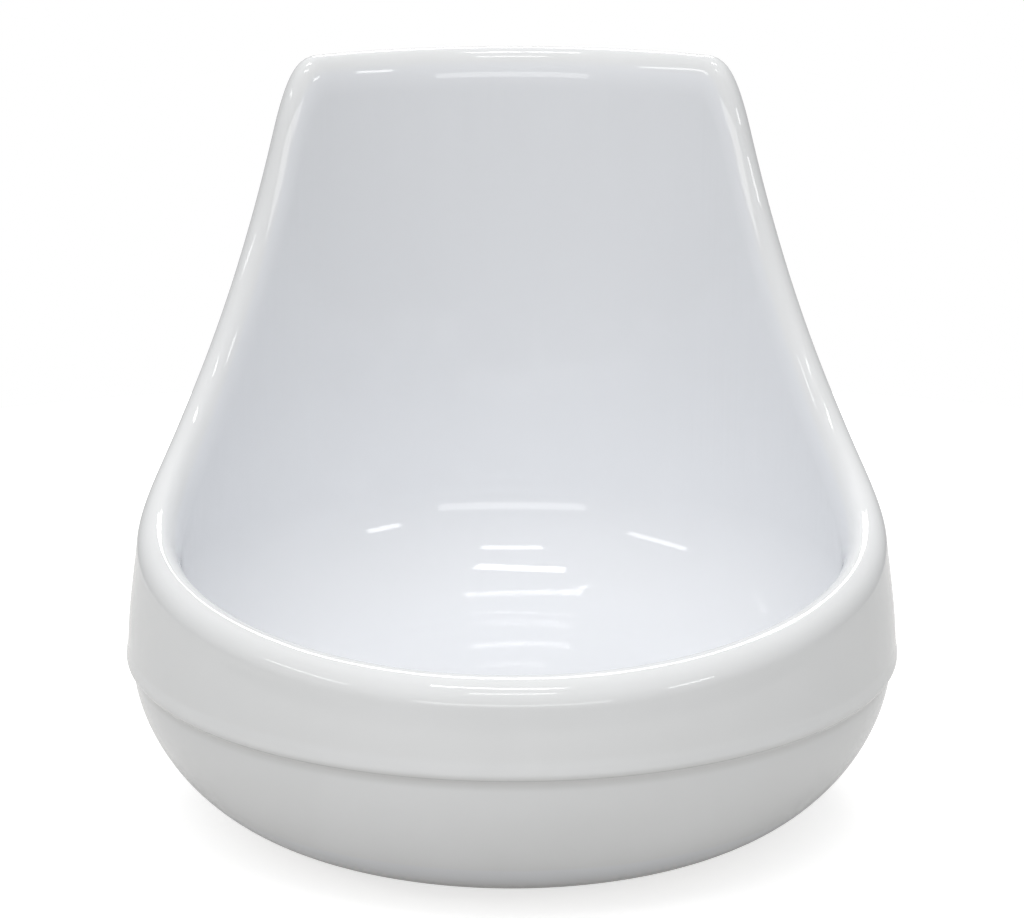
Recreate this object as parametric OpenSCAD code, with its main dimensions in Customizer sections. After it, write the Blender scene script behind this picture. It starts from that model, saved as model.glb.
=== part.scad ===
// Upright spoon rest: a round stoneware bowl whose back wall stands up to hold the handle.
// The clay body and the glaze fired onto it are two solids that share one surface.
// The origin is the centre of the foot, on the table. The bowl opens towards -Y.

/* [Bowl] */
// Width over the flared lower edge of the collar, the widest line of the bowl, with its glaze
bowl_w = 140.4; // [120:0.2:170]
// Height of the widest line of the collar
collar_z = 30.2; // [30:0.1:34]
// How far the lower edge of the collar flares out from the collar above it
flare_d = 0.3; // [0.1:0.1:0.8]
// Height over which the flare dies away
flare_h = 2.6; // [2:0.1:4]
// Height of the lower edge of the collar
step_z = 28.2; // [26:0.1:28.8]
// How far the lower edge of the collar stands out from the belly
step_d = 1.2; // [0.9:0.1:1.6]
// Thickness of the wall at the collar
collar_t = 9.2; // [8:0.1:11]
// Height of the floor of the bowl, at its edge
floor_z = 21; // [17:0.5:24]
// How far the floor dips towards its centre
floor_dip = 0.8; // [0.4:0.1:1.5]
// Width of the curve between the floor and the wall
cove_w = 24; // [16:0.5:30]
// Height of the curve between the floor and the wall
cove_h = 24; // [16:0.5:28]
// Roundness of the belly: 2 is an ellipse, less is flatter
belly_round = 1.74; // [1.6:0.02:2]

/* [Foot] */
// Radius of the belly where it meets the foot
foot_r = 44; // [34:0.5:48]
// Width of the bare ring that stands on the table
ring_w = 3.2; // [2.4:0.1:5]
// How far the ring is set in from the end of the glaze
ring_inset = 0.5; // [0.3:0.1:1]
// Height of the bare ring
foot_h = 1.2; // [0.9:0.1:2]
// Depth of the hollow under the bowl
recess_h = 11; // [6:0.5:13]
// Radius of the corner inside the hollow
recess_round = 5; // [3:0.5:6]

/* [Back wall] */
// Height of the object, at the rim of the back wall
back_h = 130.2; // [110:0.5:150]
// Thickness of the back wall
wall_t = 6.2; // [5.5:0.1:7.5]
// Height at which the wall has become upright
upright_z = 62; // [56:0.5:72]
// Width between the corners of the back wall, at the middle of the rim
corner_w = 79; // [66:0.5:92]

/* [Rim] */
// Height of the rim at the front of the bowl
front_h = 45.2; // [43.6:0.1:50]
// How much the rim rises round the sides of the bowl, before the wall
shoulder_h = 5; // [3:0.5:8]
// Height over which the corners of the back wall are softened
corner_soft = 11; // [3:0.5:14]
// Height of the longer rounding on the inside of the rim
lip_h = 4.8; // [2:0.2:6]

/* [Glaze] */
// Thickness of the glaze
glaze_t = 0.4; // [0.3:0.05:0.5]

/* [Hidden] */

// Half the thickness of the front rim, and the start of the collar's rounded lower edge
front_half_share = 0.485;
step_base_share = 0.35;

// Sizes of the clay, under the glaze
edge_r = bowl_w / 2 - glaze_t;
collar_r = edge_r - flare_d;
bore_r = collar_r - collar_t;
wall_r = bore_r + wall_t;
belly_r = edge_r - step_d;
cove_z = floor_z + cove_h;
ring_out_r = foot_r - ring_inset;
ring_in_r = ring_out_r - ring_w;
top_mid_z = back_h - glaze_t - wall_t / 2;
front_mid_z = front_h - glaze_t - front_half_share * collar_t;
climb_h = top_mid_z - front_mid_z - shoulder_h;
rim_r = bore_r + wall_t / 2;

// Angles round the bowl, from the front: degrees, and the pace of the climb at the sides
shoulder_from_a = 6;
shoulder_to_a = 84;
climb_a = 20.5;
corner_a = 180 - asin(corner_w / 2 / rim_r);

// Counts of the loft
front_steps = 12;
climb_steps = 14;
corner_steps = 3;
back_steps = 6;
belly_steps = 8;
step_steps = 3;
flare_steps = 2;
wall_steps = 4;
rim_steps = 8;
cove_steps = 7;
ball_steps = 6;
recess_steps = 6;

// Eases from 0 to 1
function ease(u) = u <= 0 ? 0 : u >= 1 ? 1 : u * u * (3 - 2 * u);

// Outside of the clay wall, above the widest line
function wall_out_r(z) = collar_r + (wall_r - collar_r) * ease((z - collar_z) / (upright_z - collar_z))
    + flare_d * (1 - ease((z - collar_z) / flare_h));

// Inside of the clay wall, down the curve to the floor
function cove_in(drop) = cove_w * (1 - sqrt(max(0, 1 - pow(drop / cove_h, 2))));
function wall_in_r(z) = bore_r - cove_in(min(cove_h, max(0, cove_z - z)));

// Height of the middle of the rim: level in front, a slow rise, then a climb to the corner
function climb_mid_z(a) = front_mid_z
    + shoulder_h * ease((a - shoulder_from_a) / (shoulder_to_a - shoulder_from_a))
    + climb_h * exp((a - corner_a) / climb_a);
function soft_min(p, q, k) = min(p, q) - pow(max(0, k - abs(p - q)), 2) / 4 / k;
function rim_mid_z(a) = soft_min(top_mid_z, climb_mid_z(a > 180 ? 360 - a : abs(a)), corner_soft);

// Height that a ball of radius s reaches as it rolls along the middle of the rim
function ball_top_z(a, s) = max([
    for (k = [-ball_steps : ball_steps])
        rim_mid_z(a + k / ball_steps * s / rim_r * 180 / PI) + s * sqrt(1 - pow(k / ball_steps, 2))
]);

// Belly, from the foot to the step: t runs from 0 at the foot to 90 at the step
function belly_pt(t, g) = let (
    power = 2 / belly_round,
    reach = belly_r - foot_r,
    rise = step_z - foot_h,
    tilt = atan2(reach * pow(cos(t), 2 - power), rise * pow(sin(t), 2 - power))
) [
    foot_r + reach * pow(sin(t), power) + g * cos(tilt),
    step_z - rise * pow(cos(t), power) - g * sin(tilt)
];

// Collar, from the step out to the widest line, as a rounded lower edge
function collar_pt(t, g) = [
    belly_r + step_d * sin(t) + g,
    collar_z - (collar_z - step_z) * (1 - step_base_share) * cos(t)
];

// Rim, from outside over the top to inside: t runs from 0 to 180
function rim_pt(a, t, g) = let (
    z = rim_mid_z(a),
    r_out = wall_out_r(z) + g,
    r_in = wall_in_r(z - lip_h) - g,
    r_mid = (wall_out_r(z) + wall_in_r(z)) / 2,
    half_t = (wall_out_r(z) - wall_in_r(z)) / 2 + g,
    z_ball = ball_top_z(a, half_t * sin(t))
) t <= 90
    ? [r_mid + (r_out - r_mid) * cos(t), z_ball]
    : [r_mid + (r_mid - r_in) * cos(t), z_ball - lip_h * (1 - sin(t))];

// Curve from the wall down to the floor: t runs from 0 at its top to 90 at the floor
function cove_pt(a, t, g) = let (
    z_top = min(cove_z, rim_mid_z(a) - lip_h),
    t_top = acos(max(0, min(1, (wall_in_r(z_top) - bore_r + cove_w) / cove_w))),
    u = t_top + (90 - t_top) * t / 90
) [
    bore_r - cove_w * (1 - cos(u)) - g * cos(u),
    cove_z - cove_h * sin(u) + g * sin(u)
];

// Half section at angle a, from the foot over the rim to the middle of the floor
function section(a, g) = let (
    z_wall = rim_mid_z(a),
    z_flare = collar_z + flare_h,
    z_in = z_wall - lip_h
) [
    for (k = [0 : belly_steps]) belly_pt(90 * k / belly_steps, g),
    for (k = [1 : step_steps]) collar_pt(90 * (k - 1) / (step_steps - 1), g),
    for (k = [1 : flare_steps]) let (z = collar_z + flare_h * k / flare_steps)
        [wall_out_r(z) + g, z],
    for (k = [1 : wall_steps - 1]) let (z = z_flare + (z_wall - z_flare) * k / wall_steps)
        [wall_out_r(z) + g, z],
    for (k = [0 : rim_steps]) rim_pt(a, 180 * k / rim_steps, g),
    for (k = [1 : 2]) let (z = z_in + (min(z_in, cove_z + step_d) - z_in) * k / 3)
        [wall_in_r(z) - g, z],
    for (k = [1 : cove_steps]) cove_pt(a, 90 * k / cove_steps, g),
    [(bore_r - cove_w) / 2, floor_z - floor_dip * 3 / 4 + g],
    [0, floor_z - floor_dip + g]
];

// Angles of the loft over one half, close together where the rim climbs
half_angles = [
    for (k = [0 : front_steps - 1]) shoulder_to_a * k / front_steps,
    for (k = [1 : climb_steps]) max(shoulder_to_a, corner_a + climb_a * ln(k / climb_steps)),
    for (k = [1 : corner_steps]) corner_a + k / corner_steps * wall_t / 2 / rim_r * 180 / PI,
    for (k = [1 : back_steps])
        let (a = corner_a + wall_t / 2 / rim_r * 180 / PI) a + (180 - a) * k / back_steps
];
half_n = len(half_angles);
angles = [for (a = half_angles) a, for (k = [half_n - 2 : -1 : 1]) 360 - half_angles[k]];

// A half-section point turned to its angle, measured from the front
function turned(p, a) = [p[0] * sin(a), -p[0] * cos(a), p[1]];

// Quads between neighbouring sections as two triangles each, for points p0 up to p1
function band(first, n, p0, p1, rows, flip) = [
    for (i = [0 : rows - 1], p = [p0 : p1 - 1])
        let (
            a = first + i * n + p,
            b = first + ((i + 1) % rows) * n + p,
            c = b + 1,
            d = a + 1
        )
        each flip ? [[a, b, c], [a, c, d]] : [[a, c, b], [a, d, c]]
];

// Fan between neighbouring sections to one shared point
function fan(first, n, p, hub, rows, flip) = [
    for (i = [0 : rows - 1])
        let (a = first + i * n + p, b = first + ((i + 1) % rows) * n + p)
            flip ? [a, b, hub] : [a, hub, b]
];

rows = len(angles);
points_n = len(section(0, 0)) - 1;

// Points of one skin, then the shared point at the middle of the floor
function skin(g) = [
    for (a = angles) let (s = section(a, g)) for (p = [0 : points_n - 1]) turned(s[p], a),
    turned(section(0, g)[points_n], 0)
];

module clay_shell() {
    points = concat(skin(0), [[0, 0, foot_h]]);
    floor_hub = rows * points_n;
    polyhedron(
        points,
        concat(
            band(0, points_n, 0, points_n - 1, rows, false),
            fan(0, points_n, points_n - 1, floor_hub, rows, false),
            fan(0, points_n, 0, floor_hub + 1, rows, true)
        ),
        convexity = 8
    );
}

// Outline of the hollow under the bowl, from the foot up to the middle, shrunk by g
function recess_line(g) = [
    for (k = [0 : recess_steps]) let (t = 90 * k / recess_steps) [
        ring_in_r - recess_round + (recess_round - g) * cos(t),
        recess_h - recess_round + (recess_round - g) * sin(t)
    ],
    [0, recess_h - g]
];

module recess() {
    rotate_extrude($fn = 96)
        polygon(concat([[0, -foot_h], [ring_in_r, -foot_h]], recess_line(0)));
}

module stoneware_body() {
    color("antiquewhite")
        union() {
            difference() {
                clay_shell();
                recess();
            }
            rotate_extrude($fn = 96)
                translate([ring_in_r, 0])
                    square([ring_w, 2 * foot_h]);
        }
}

module glaze_coat() {
    second = rows * points_n + 1;
    color("white") {
        polyhedron(
            concat(skin(glaze_t), skin(0)),
            concat(
                band(0, points_n, 0, points_n - 1, rows, false),
                fan(0, points_n, points_n - 1, second - 1, rows, false),
                band(second, points_n, 0, points_n - 1, rows, true),
                fan(second, points_n, points_n - 1, 2 * second - 1, rows, true),
                [
                    for (i = [0 : rows - 1])
                        let (a = i * points_n, b = ((i + 1) % rows) * points_n)
                        each [[a, b, second + b], [a, second + b, second + a]]
                ]
            ),
            convexity = 10
        );
        rotate_extrude($fn = 96)
            polygon(concat(
                [[ring_in_r, foot_h]],
                recess_line(0),
                [for (k = [recess_steps + 1 : -1 : 0]) recess_line(glaze_t)[k]],
                [[ring_in_r - glaze_t, foot_h]]
            ));
    }
}

stoneware_body();
glaze_coat();
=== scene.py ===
import math

import bmesh
import bpy
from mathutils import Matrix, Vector


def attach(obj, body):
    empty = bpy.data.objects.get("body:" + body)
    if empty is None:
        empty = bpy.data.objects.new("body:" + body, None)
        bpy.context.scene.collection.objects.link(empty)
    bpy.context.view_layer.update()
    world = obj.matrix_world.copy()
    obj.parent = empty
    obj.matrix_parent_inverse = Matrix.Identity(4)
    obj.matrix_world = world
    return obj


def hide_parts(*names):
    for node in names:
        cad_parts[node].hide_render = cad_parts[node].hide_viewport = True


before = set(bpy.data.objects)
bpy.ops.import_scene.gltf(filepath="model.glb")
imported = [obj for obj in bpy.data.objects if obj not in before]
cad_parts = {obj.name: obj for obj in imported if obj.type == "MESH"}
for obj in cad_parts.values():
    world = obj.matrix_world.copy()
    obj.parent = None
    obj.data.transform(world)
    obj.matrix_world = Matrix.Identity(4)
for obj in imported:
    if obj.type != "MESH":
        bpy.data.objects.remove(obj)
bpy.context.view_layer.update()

# Upright spoon rest of white glazed stoneware: a round bowl whose back wall stands up for the handle.
# Sizes are in metres and angles in degrees round the bowl, 0 at the low front.
scene = bpy.context.scene
scene.view_settings.view_transform = "Standard"

camera = {
    "place": (0.0, -0.5541, 0.2155),
    "pitch": 15.26,  # degrees below the horizon
    "lens": 111.83,
}

bowl = {
    "edgeRadius": 0.0698,  # flared lower edge of the collar, of the clay under the glaze
    "flareDepth": 0.0003,
    "flareHeight": 0.0026,
    "collarHeight": 0.0302,
    "collarThickness": 0.0092,
    "stepHeight": 0.0282,
    "stepDepth": 0.0012,
    "stepBase": 0.35,
    "floorHeight": 0.021,
    "floorDip": 0.0008,
    "coveWidth": 0.024,
    "coveHeight": 0.024,
    "bellyRoundness": 1.74,
    "wallThickness": 0.0062,
    "uprightHeight": 0.062,
    "backHeight": 0.1302,
    "cornerWidth": 0.079,
    "cornerSoftness": 0.011,
    "frontHeight": 0.0452,
    "frontHalfShare": 0.485,
    "shoulderRise": 0.005,
    "shoulderFrom": 6.0,
    "shoulderTo": 84.0,
    "climbPace": 20.5,
    "lipHeight": 0.0048,
}

foot = {
    "radius": 0.044,
    "height": 0.0012,
    "ringOuter": 0.0435,
    "ringInner": 0.0403,
    "hollowHeight": 0.011,
    "hollowRounding": 0.005,
    "ringRounding": 0.0004,
    "roundingSteps": 8,
}

glazeLayer = {
    "thickness": 0.0004,
    "sections": 288,  # round the bowl
    "bellySteps": 30,
    "stepSteps": 10,
    "flareSteps": 8,
    "wallSteps": 12,
    "rimSteps": 28,
    "innerSteps": 8,
    "coveSteps": 22,
    "floorSteps": 10,
    "hollowSections": 96,
    "mergeDistance": 1e-6,
    "centreReach": 1e-5,  # a point nearer to the middle than this isn't moved
    "tuck": 0.00002,  # the clay's own skin lies this far inside the glaze
}

# Sizes that follow from the ones above
collarRadius = bowl["edgeRadius"] - bowl["flareDepth"]
boreRadius = collarRadius - bowl["collarThickness"]
wallRadius = boreRadius + bowl["wallThickness"]
bellyRadius = bowl["edgeRadius"] - bowl["stepDepth"]
coveTop = bowl["floorHeight"] + bowl["coveHeight"]
rimRadius = boreRadius + bowl["wallThickness"] / 2
topMiddle = bowl["backHeight"] - glazeLayer["thickness"] - bowl["wallThickness"] / 2
frontMiddle = (bowl["frontHeight"] - glazeLayer["thickness"]
               - bowl["frontHalfShare"] * bowl["collarThickness"])
climbHeight = topMiddle - frontMiddle - bowl["shoulderRise"]
cornerAngle = 180 - math.degrees(math.asin(bowl["cornerWidth"] / 2 / rimRadius))


def ease(share):
    share = min(1.0, max(0.0, share))
    return share * share * (3 - 2 * share)


def wallOuter(height):
    above = height - bowl["collarHeight"]
    rise = above / (bowl["uprightHeight"] - bowl["collarHeight"])
    flare = bowl["flareDepth"] * (1 - ease(above / bowl["flareHeight"]))
    return collarRadius + (wallRadius - collarRadius) * ease(rise) + flare


def wallInner(height):
    drop = min(1.0, max(0.0, (coveTop - height) / bowl["coveHeight"]))
    return boreRadius - bowl["coveWidth"] * (1 - math.sqrt(1 - drop * drop))


def rimMiddle(angle):
    # Height of the middle of the rim: level in front, a slow rise, then a climb to the corner
    angle = abs((angle + 180) % 360 - 180)
    shoulder = (angle - bowl["shoulderFrom"]) / (bowl["shoulderTo"] - bowl["shoulderFrom"])
    climb = frontMiddle + bowl["shoulderRise"] * ease(shoulder)
    climb += climbHeight * math.exp((angle - cornerAngle) / bowl["climbPace"])
    soft = bowl["cornerSoftness"]
    return min(topMiddle, climb) - max(0.0, soft - abs(topMiddle - climb)) ** 2 / 4 / soft


def rollingTop(angle, radius, samples=20):
    # Height that a ball of this radius reaches as it rolls along the middle of the rim
    best = 0.0
    for k in range(-samples, samples + 1):
        share = k / samples
        turn = math.degrees(share * radius / rimRadius)
        best = max(best, rimMiddle(angle + turn) + radius * math.sqrt(1 - share * share))
    return best


def bellyPoint(share, coat):
    turn = math.radians(90 * share)
    power = 2 / bowl["bellyRoundness"]
    reach = bellyRadius - foot["radius"]
    rise = bowl["stepHeight"] - foot["height"]
    sine, cosine = math.sin(turn), max(0.0, math.cos(turn))
    tilt = math.atan2(reach * cosine ** (2 - power), rise * sine ** (2 - power))
    return (foot["radius"] + reach * sine ** power + coat * math.cos(tilt),
            bowl["stepHeight"] - rise * cosine ** power - coat * math.sin(tilt))


def collarPoint(share, coat):
    turn = math.radians(90 * share)
    drop = (bowl["collarHeight"] - bowl["stepHeight"]) * (1 - bowl["stepBase"])
    return (bellyRadius + bowl["stepDepth"] * math.sin(turn) + coat,
            bowl["collarHeight"] - drop * math.cos(turn))


def rimPoint(angle, share, coat):
    height = rimMiddle(angle)
    outer, inner = wallOuter(height), wallInner(height)
    middle = (outer + inner) / 2
    sine, cosine = math.sin(math.pi * share), math.cos(math.pi * share)
    top = rollingTop(angle, ((outer - inner) / 2 + coat) * sine)
    if share <= 0.5:
        return middle + (outer + coat - middle) * cosine, top
    lowerInner = wallInner(height - bowl["lipHeight"]) - coat
    return middle + (middle - lowerInner) * cosine, top - bowl["lipHeight"] * (1 - sine)


def covePoint(angle, share, coat):
    top = min(coveTop, rimMiddle(angle) - bowl["lipHeight"])
    start = math.acos(min(1.0, max(0.0, (wallInner(top) - boreRadius) / bowl["coveWidth"] + 1)))
    turn = start + (math.pi / 2 - start) * share
    return (boreRadius - bowl["coveWidth"] * (1 - math.cos(turn)) - coat * math.cos(turn),
            coveTop - bowl["coveHeight"] * math.sin(turn) + coat * math.sin(turn))


def hollowLine(coat):
    # Hollow under the bowl, from the foot ring up to its middle
    corner = foot["hollowRounding"] - coat
    line = [(foot["ringInner"] - coat, foot["height"])]
    for k in range(foot["roundingSteps"] + 1):
        turn = math.pi / 2 * k / foot["roundingSteps"]
        line.append((foot["ringInner"] - foot["hollowRounding"] + corner * math.cos(turn),
                     foot["hollowHeight"] - foot["hollowRounding"] + corner * math.sin(turn)))
    middle = foot["ringInner"] - foot["hollowRounding"]
    line += [(middle * share, foot["hollowHeight"] - coat) for share in (0.75, 0.5, 0.25, 0.0)]
    return line


def roundedCorner(radius, rounding, side):
    # Lower corner of the foot ring, from its upright face to the table
    return [(radius + side * rounding * (1 - math.cos(turn)), rounding * (1 - math.sin(turn)))
            for turn in (0.0, math.pi / 6, math.pi / 3, math.pi / 2)]


def halfSection(angle, coat):
    # From the foot up the belly, over the rim and down to the middle of the floor
    steps = glazeLayer
    wallTop = rimMiddle(angle)
    innerTop = wallTop - bowl["lipHeight"]
    innerLow = min(innerTop, coveTop)
    line = [bellyPoint(k / steps["bellySteps"], coat) for k in range(steps["bellySteps"] + 1)]
    line += [collarPoint(k / steps["stepSteps"], coat) for k in range(steps["stepSteps"] + 1)]
    flareTop = bowl["collarHeight"] + bowl["flareHeight"]
    for k in range(1, steps["flareSteps"] + 1):
        height = bowl["collarHeight"] + bowl["flareHeight"] * k / steps["flareSteps"]
        line.append((wallOuter(height) + coat, height))
    for k in range(1, steps["wallSteps"]):
        height = flareTop + (wallTop - flareTop) * k / steps["wallSteps"]
        line.append((wallOuter(height) + coat, height))
    line += [rimPoint(angle, k / steps["rimSteps"], coat) for k in range(steps["rimSteps"] + 1)]
    for k in range(1, steps["innerSteps"]):
        height = innerTop + (innerLow - innerTop) * k / steps["innerSteps"]
        line.append((wallInner(height) - coat, height))
    line += [covePoint(angle, k / steps["coveSteps"], coat) for k in range(1, steps["coveSteps"] + 1)]
    floorEdge = boreRadius - bowl["coveWidth"]
    for k in range(1, steps["floorSteps"] + 1):
        share = 1 - k / steps["floorSteps"]
        line.append((floorEdge * share,
                     bowl["floorHeight"] - bowl["floorDip"] * (1 - share * share) + coat))
    return line


def sectionAngles(count):
    # Even steps along the rim, so that the steep corners get as many sections as they need
    fine = 1440
    travel = [0.0]
    for k in range(fine):
        across = math.radians(180 / fine) * rimRadius
        climb = rimMiddle(180 * (k + 1) / fine) - rimMiddle(180 * k / fine)
        travel.append(travel[-1] + math.hypot(across, climb))
    half, angles, k = count // 2, [], 0
    for step in range(half + 1):
        target = travel[-1] * step / half
        while k < fine - 1 and travel[k + 1] < target:
            k += 1
        share = (target - travel[k]) / (travel[k + 1] - travel[k])
        angles.append(180 * (k + min(1.0, share)) / fine)
    return angles + [360 - a for a in angles[-2:0:-1]]


def spinLine(points, sections, firstStep=0):
    # Spins a line of radii and heights round the bowl, and each point keeps its number as its step
    shape = bmesh.new()
    stepLayer = shape.verts.layers.int.new("step")
    line = [shape.verts.new((0, -radius, height)) for radius, height in points]
    for k, vert in enumerate(line):
        vert[stepLayer] = k + firstStep
    edges = [shape.edges.new(pair) for pair in zip(line, line[1:])]
    bmesh.ops.spin(shape, geom=line + edges, cent=(0, 0, 0), axis=(0, 0, 1), dvec=(0, 0, 0),
                   angle=math.tau, steps=sections, use_merge=True)
    bmesh.ops.remove_doubles(shape, verts=shape.verts, dist=glazeLayer["mergeDistance"])
    return shape, stepLayer


def spinVessel(coat, base):
    # The front section is spun, then every section but the base is moved to its own place and height
    shape, stepLayer = spinLine(base + halfSection(0, coat), glazeLayer["sections"], -len(base))
    angles = sectionAngles(glazeLayer["sections"])
    sections = [halfSection(a, coat) for a in angles]
    for vert in shape.verts:
        step = vert[stepLayer]
        if step < 0 or vert.co.xy.length < glazeLayer["centreReach"]:
            continue
        turn = math.atan2(vert.co.x, -vert.co.y) / math.tau
        k = round(turn * len(angles)) % len(angles)
        radius, height = sections[k][step]
        around = math.radians(angles[k])
        vert.co = (radius * math.sin(around), -radius * math.cos(around), height)
    return shape


def makePiece(name, shape, material, node):
    mesh = bpy.data.meshes.new(name)
    shape.to_mesh(mesh)
    shape.free()
    mesh.polygons.foreach_set("use_smooth", [True] * len(mesh.polygons))
    mesh.materials.append(material)
    piece = bpy.data.objects.new(name, mesh)
    scene.collection.objects.link(piece)
    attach(piece, "root")
    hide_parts(node)
    return piece


print("camera")
cameraData = bpy.data.cameras.new("photoCamera")
cameraData.lens = camera["lens"]
cameraData.sensor_width = 36
cameraData.sensor_fit = "HORIZONTAL"
photoCamera = bpy.data.objects.new("photoCamera", cameraData)
photoCamera.location = camera["place"]
photoCamera.rotation_euler = (math.radians(90 - camera["pitch"]), 0, 0)
scene.collection.objects.link(photoCamera)
scene.camera = photoCamera

print("materials")


def addNode(tree, kind, inputs=None, **settings):
    node = tree.nodes.new(kind)
    for name, value in settings.items():
        setattr(node, name, value)
    for name, value in (inputs or {}).items():
        if isinstance(value, bpy.types.NodeSocket):
            tree.links.new(value, node.inputs[name])
        else:
            node.inputs[name].default_value = value
    return node


def addMath(tree, operation, first, second=0.0, third=0.0):
    node = addNode(tree, "ShaderNodeMath", {0: first, 1: second, 2: third}, operation=operation)
    return node.outputs[0]


def addMix(tree, factor, first, second):
    node = addNode(tree, "ShaderNodeMix", data_type="RGBA", clamp_factor=True)
    for name, value in (("Factor_Float", factor), ("A_Color", first), ("B_Color", second)):
        socket = next(item for item in node.inputs if item.identifier == name)
        if isinstance(value, bpy.types.NodeSocket):
            tree.links.new(value, socket)
        else:
            socket.default_value = value
    return next(item for item in node.outputs if item.identifier == "Result_Color")


def addRange(tree, value, low, high, toLow=0.0, toHigh=1.0):
    inputs = {"Value": value, "From Min": low, "From Max": high, "To Min": toLow, "To Max": toHigh}
    return addNode(tree, "ShaderNodeMapRange", inputs, interpolation_type="SMOOTHSTEP").outputs["Result"]


firedLook = {
    "cloudDetail": 3.0,
    "cloudRoughness": 0.55,
    "cloudRange": (0.35, 0.65),  # noise values between which the cloud comes in
    "spreadDetail": 1.0,
    "skinDetail": 2.0,
    "skinRoughness": 0.4,
}


def makeFiredGroup():
    # Marks that firing leaves on clay and on glaze: cloudy tone, fine specks and a wavering skin
    group = bpy.data.node_groups.new("firedMarks", "ShaderNodeTree")
    for name, kind in (("Vector", "NodeSocketVector"), ("Cloud Scale", "NodeSocketFloat"),
                       ("Speck Scale", "NodeSocketFloat"), ("Speck Size", "NodeSocketFloat"),
                       ("Skin Scale", "NodeSocketFloat")):
        group.interface.new_socket(name, in_out="INPUT", socket_type=kind)
    for name in ("Cloud", "Specks", "Skin"):
        group.interface.new_socket(name, in_out="OUTPUT", socket_type="NodeSocketFloat")
    start = group.nodes.new("NodeGroupInput")
    end = group.nodes.new("NodeGroupOutput")
    cloud = addNode(group, "ShaderNodeTexNoise", {
        "Vector": start.outputs["Vector"], "Scale": start.outputs["Cloud Scale"],
        "Detail": firedLook["cloudDetail"], "Roughness": firedLook["cloudRoughness"]})
    cells = addNode(group, "ShaderNodeTexVoronoi", {
        "Vector": start.outputs["Vector"], "Scale": start.outputs["Speck Scale"]})
    spread = addNode(group, "ShaderNodeTexNoise", {
        "Vector": start.outputs["Vector"], "Scale": start.outputs["Cloud Scale"],
        "Detail": firedLook["spreadDetail"]})
    speckEdge = addMath(group, "MULTIPLY", start.outputs["Speck Size"], spread.outputs["Fac"])
    speck = addMath(group, "LESS_THAN", cells.outputs["Distance"], speckEdge)
    skin = addNode(group, "ShaderNodeTexNoise", {
        "Vector": start.outputs["Vector"], "Scale": start.outputs["Skin Scale"],
        "Detail": firedLook["skinDetail"], "Roughness": firedLook["skinRoughness"]})
    cloudy = addRange(group, cloud.outputs["Fac"], *firedLook["cloudRange"])
    group.links.new(cloudy, end.inputs["Cloud"])
    group.links.new(speck, end.inputs["Specks"])
    group.links.new(skin.outputs["Fac"], end.inputs["Skin"])
    return group


firedMarks = makeFiredGroup()


def startMaterial(name, marks):
    material = bpy.data.materials.new(name)
    material.use_nodes = True
    tree = material.node_tree
    coordinates = addNode(tree, "ShaderNodeTexCoord")
    fired = addNode(tree, "ShaderNodeGroup", node_tree=firedMarks)
    tree.links.new(coordinates.outputs["Object"], fired.inputs["Vector"])
    for key, value in marks.items():
        fired.inputs[key].default_value = value
    apart = addNode(tree, "ShaderNodeSeparateXYZ", {0: coordinates.outputs["Object"]})
    across = addMath(tree, "MULTIPLY", apart.outputs["X"], apart.outputs["X"])
    along = addMath(tree, "MULTIPLY_ADD", apart.outputs["Y"], apart.outputs["Y"], across)
    radius = addMath(tree, "SQRT", along)
    return material, tree, tree.nodes["Principled BSDF"], fired, radius, apart.outputs["Z"]


glazeLook = {
    "white": (0.845, 0.85, 0.852, 1),
    "cloud": (0.825, 0.83, 0.83, 1),
    "pooled": (0.840, 0.852, 0.876, 1),  # thicker glaze runs together in the bowl
    "pooledRadius": (0.0612, 0.0604),  # each pair is where a tone begins and where it is full
    "stepShade": (0.74, 0.74, 0.735, 1),  # painted shade: a darker glaze colour in the step under the collar, where shadow falls
    "stepShadeBottom": (0.0268, 0.0284),
    "stepShadeTop": (0.0302, 0.0290),
    "stepShadeRadius": (0.066, 0.067),
    "thinAndShaded": (0.72, 0.70, 0.665, 1),  # warmer where the glaze thins over the clay near its lower edge, and darkened there as painted shade towards the foot
    "thinShadedHeight": (0.0075, 0.0010),
    "thinShadedRadius": (0.041, 0.043),
    "roughness": (0.025, 0.055),
    "ior": 1.52,
    "skinDepth": 0.00006,
    "skinStrength": 0.25,
    "pitDepth": -0.35,  # of a speck, beside the waves of the skin
    "marks": {"Cloud Scale": 28.0, "Speck Scale": 900.0, "Speck Size": 0.10, "Skin Scale": 70.0},
}


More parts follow.
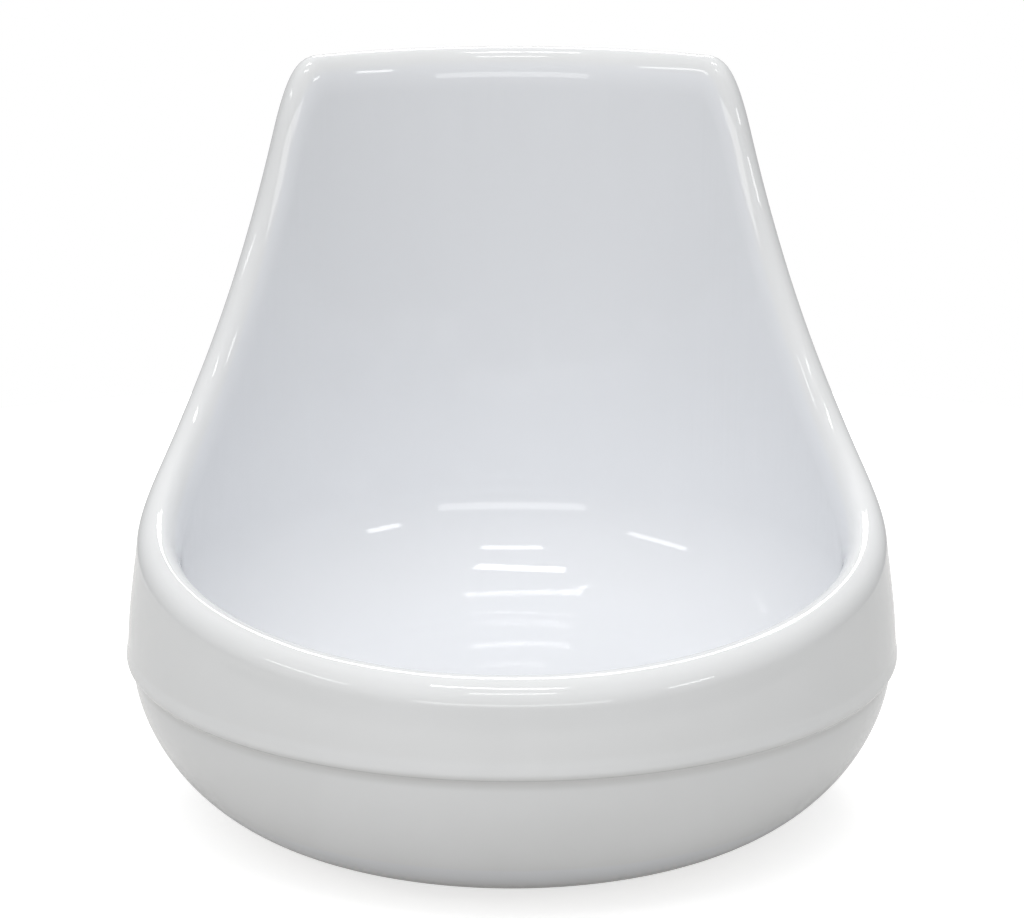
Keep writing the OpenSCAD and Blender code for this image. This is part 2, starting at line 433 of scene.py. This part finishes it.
def makeGlaze():
    look = glazeLook
    material, tree, shader, fired, radius, height = startMaterial("whiteGlaze", look["marks"])
    tone = addMix(tree, fired.outputs["Cloud"], look["white"], look["cloud"])
    inside = addRange(tree, radius, *look["pooledRadius"])
    tone = addMix(tree, inside, tone, look["pooled"])
    # Painted shade: a darker band of glaze in the step under the collar stands in for the shadow there.
    underStep = addMath(tree, "MULTIPLY", addRange(tree, height, *look["stepShadeBottom"]),
                        addRange(tree, height, *look["stepShadeTop"]))
    outside = addRange(tree, radius, *look["stepShadeRadius"])
    tone = addMix(tree, addMath(tree, "MULTIPLY", underStep, outside), tone, look["stepShade"])
    # Near the foot the glaze turns warmer and darker: the warmth is thin glaze over clay, the darkening is
    # painted shade.
    lowEdge = addMath(tree, "MULTIPLY", addRange(tree, height, *look["thinShadedHeight"]),
                      addRange(tree, radius, *look["thinShadedRadius"]))
    tone = addMix(tree, lowEdge, tone, look["thinAndShaded"])
    tree.links.new(tone, shader.inputs["Base Color"])
    roughness = addRange(tree, fired.outputs["Cloud"], 0.0, 1.0, *look["roughness"])
    tree.links.new(roughness, shader.inputs["Roughness"])
    shader.inputs["IOR"].default_value = look["ior"]
    pits = addMath(tree, "MULTIPLY_ADD", fired.outputs["Specks"], look["pitDepth"], fired.outputs["Skin"])
    bump = addNode(tree, "ShaderNodeBump", {
        "Strength": look["skinStrength"], "Distance": look["skinDepth"], "Height": pits})
    tree.links.new(bump.outputs["Normal"], shader.inputs["Normal"])
    return material


clayLook = {
    "body": (0.60, 0.50, 0.375, 1),
    "pale": (0.68, 0.59, 0.46, 1),
    "speck": (0.20, 0.125, 0.075, 1),
    "toasted": (0.42, 0.27, 0.155, 1),  # line beside the end of the glaze
    "toastedHeight": (0.0004, 0.0012),
    "toastedShare": 0.8,
    "roughness": (0.78, 0.95),
    "grainDepth": 0.00012,
    "grainStrength": 0.6,
    "marks": {"Cloud Scale": 60.0, "Speck Scale": 700.0, "Speck Size": 0.42, "Skin Scale": 1500.0},
}


def makeClay():
    look = clayLook
    material, tree, shader, fired, radius, height = startMaterial("buffClay", look["marks"])
    tone = addMix(tree, fired.outputs["Cloud"], look["body"], look["pale"])
    toasted = addRange(tree, height, *look["toastedHeight"], 0.0, look["toastedShare"])
    tone = addMix(tree, toasted, tone, look["toasted"])
    tone = addMix(tree, fired.outputs["Specks"], tone, look["speck"])
    tree.links.new(tone, shader.inputs["Base Color"])
    roughness = addRange(tree, fired.outputs["Cloud"], 0.0, 1.0, *look["roughness"])
    tree.links.new(roughness, shader.inputs["Roughness"])
    bump = addNode(tree, "ShaderNodeBump", {
        "Strength": look["grainStrength"], "Distance": look["grainDepth"], "Height": fired.outputs["Skin"]})
    tree.links.new(bump.outputs["Normal"], shader.inputs["Normal"])
    return material


whiteGlaze = makeGlaze()
buffClay = makeClay()

print("glaze over the bowl and the wall")
glazeShape = spinVessel(glazeLayer["thickness"], [])
bmesh.ops.recalc_face_normals(glazeShape, faces=glazeShape.faces)
bmesh.ops.solidify(glazeShape, geom=glazeShape.faces, thickness=glazeLayer["thickness"])
bowlGlaze = makePiece("bowl_glaze", glazeShape, whiteGlaze, "glaze_coat")

print("glaze in the hollow under the bowl")
hollowShape = spinLine(hollowLine(glazeLayer["thickness"]), glazeLayer["hollowSections"])[0]
bmesh.ops.recalc_face_normals(hollowShape, faces=hollowShape.faces)
if hollowShape.faces[0].normal.z > 0:
    bmesh.ops.reverse_faces(hollowShape, faces=hollowShape.faces)
bmesh.ops.solidify(hollowShape, geom=hollowShape.faces, thickness=glazeLayer["thickness"])
hollowGlaze = makePiece("hollow_glaze", hollowShape, whiteGlaze, "glaze_coat")

print("clay body")
ringLine = [(foot["ringInner"], foot["height"])]
ringLine += roundedCorner(foot["ringInner"], foot["ringRounding"], 1)
ringLine += roundedCorner(foot["ringOuter"], foot["ringRounding"], -1)[::-1]
ringLine += [(foot["ringOuter"], foot["height"])]
clayShape = spinVessel(-glazeLayer["tuck"], hollowLine(glazeLayer["tuck"])[::-1] + ringLine)
bmesh.ops.recalc_face_normals(clayShape, faces=clayShape.faces)
clayBody = makePiece("clay_body", clayShape, buffClay, "stoneware_body")

print("table and light")
studio = {
    "sheetRadius": 0.32,
    "sheetSegments": 128,
    "sheetColor": (0.62, 0.615, 0.605, 1),
    "shownGlow": 0.70,  # own light of the sheet for the camera, so that it reads white
    "sheetGlossyShare": 0.3,  # how much of that light the glaze reflects
    "roomColor": (0.318, 0.323, 0.328, 1),
    "roomGlossyShare": 0.12,
    "lampAim": (0, 0, 0.05),
}

sheetShape = bmesh.new()
bmesh.ops.create_circle(sheetShape, cap_ends=True, segments=studio["sheetSegments"],
                        radius=studio["sheetRadius"])
sheetMesh = bpy.data.meshes.new("whiteSheet")
sheetShape.to_mesh(sheetMesh)
sheetShape.free()
whiteSheet = bpy.data.objects.new("whiteSheet", sheetMesh)
scene.collection.objects.link(whiteSheet)


def shownToCamera(tree, glossyShare):
    # 1 for rays that show the background itself
    path = addNode(tree, "ShaderNodeLightPath")
    shown = addMath(tree, "MAXIMUM", path.outputs["Is Camera Ray"], path.outputs["Is Transmission Ray"])
    glossy = addMath(tree, "MULTIPLY", path.outputs["Is Glossy Ray"], glossyShare)
    return addMath(tree, "MAXIMUM", shown, glossy)


def makePaper():
    material = bpy.data.materials.new("whitePaper")
    material.use_nodes = True
    tree = material.node_tree
    tree.nodes.clear()
    sheetLight = addMath(tree, "MULTIPLY", shownToCamera(tree, studio["sheetGlossyShare"]),
                         studio["shownGlow"])
    matt = addNode(tree, "ShaderNodeBsdfDiffuse", {"Color": studio["sheetColor"]})
    glow = addNode(tree, "ShaderNodeEmission", {"Strength": sheetLight})
    both = addNode(tree, "ShaderNodeAddShader", {0: matt.outputs[0], 1: glow.outputs[0]})
    addNode(tree, "ShaderNodeOutputMaterial", {"Surface": both.outputs[0]})
    return material


def makeRoom():
    room = bpy.data.worlds.new("studioRoom")
    room.use_nodes = True
    tree = room.node_tree
    shown = shownToCamera(tree, studio["roomGlossyShare"])
    roomTone = addMix(tree, shown, studio["roomColor"], (1, 1, 1, 1))
    tree.links.new(roomTone, tree.nodes["Background"].inputs["Color"])
    return room


sheetMesh.materials.append(makePaper())
scene.world = makeRoom()

lamps = {
    # name: place, size across, size along, radiance, seen in the glaze
    "overheadLamp": ((-0.03, -0.16, 1.0), 0.36, 0.10, 11.0, True),
    "highLamp": ((0.0, -0.60, 1.0), 0.36, 0.08, 6.5, True),
    "backLamp": ((0.05, 1.10, 0.95), 0.50, 0.26, 13.0, True),
    "frontLamp": ((0.0, -2.6, 0.76), 2.7, 0.34, 2.4, True),
    "leftLamp": ((-1.55, -0.80, 1.15), 0.85, 0.12, 5.0, True),
    "rightLamp": ((1.25, -0.98, 0.80), 0.40, 0.12, 6.0, True),
    "topFill": ((0.0, -0.1, 1.5), 1.5, 1.5, 1.28, False),
    "frontFill": ((-0.25, -1.9, 0.8), 1.0, 0.9, 1.1, False),
    "leftFill": ((-1.0, -0.8, 1.5), 1.0, 1.0, 0.85, False),
}
for name, (place, across, along, radiance, seen) in lamps.items():
    lampData = bpy.data.lights.new(name, "AREA")
    lampData.shape = "RECTANGLE"
    lampData.size = across
    lampData.size_y = along
    lampData.energy = radiance * math.pi * across * along
    lamp = bpy.data.objects.new(name, lampData)
    lamp.location = place
    aim = Vector(studio["lampAim"]) - Vector(place)
    lamp.rotation_euler = aim.to_track_quat("-Z", "Y").to_euler()
    lamp.visible_glossy = seen
    scene.collection.objects.link(lamp)
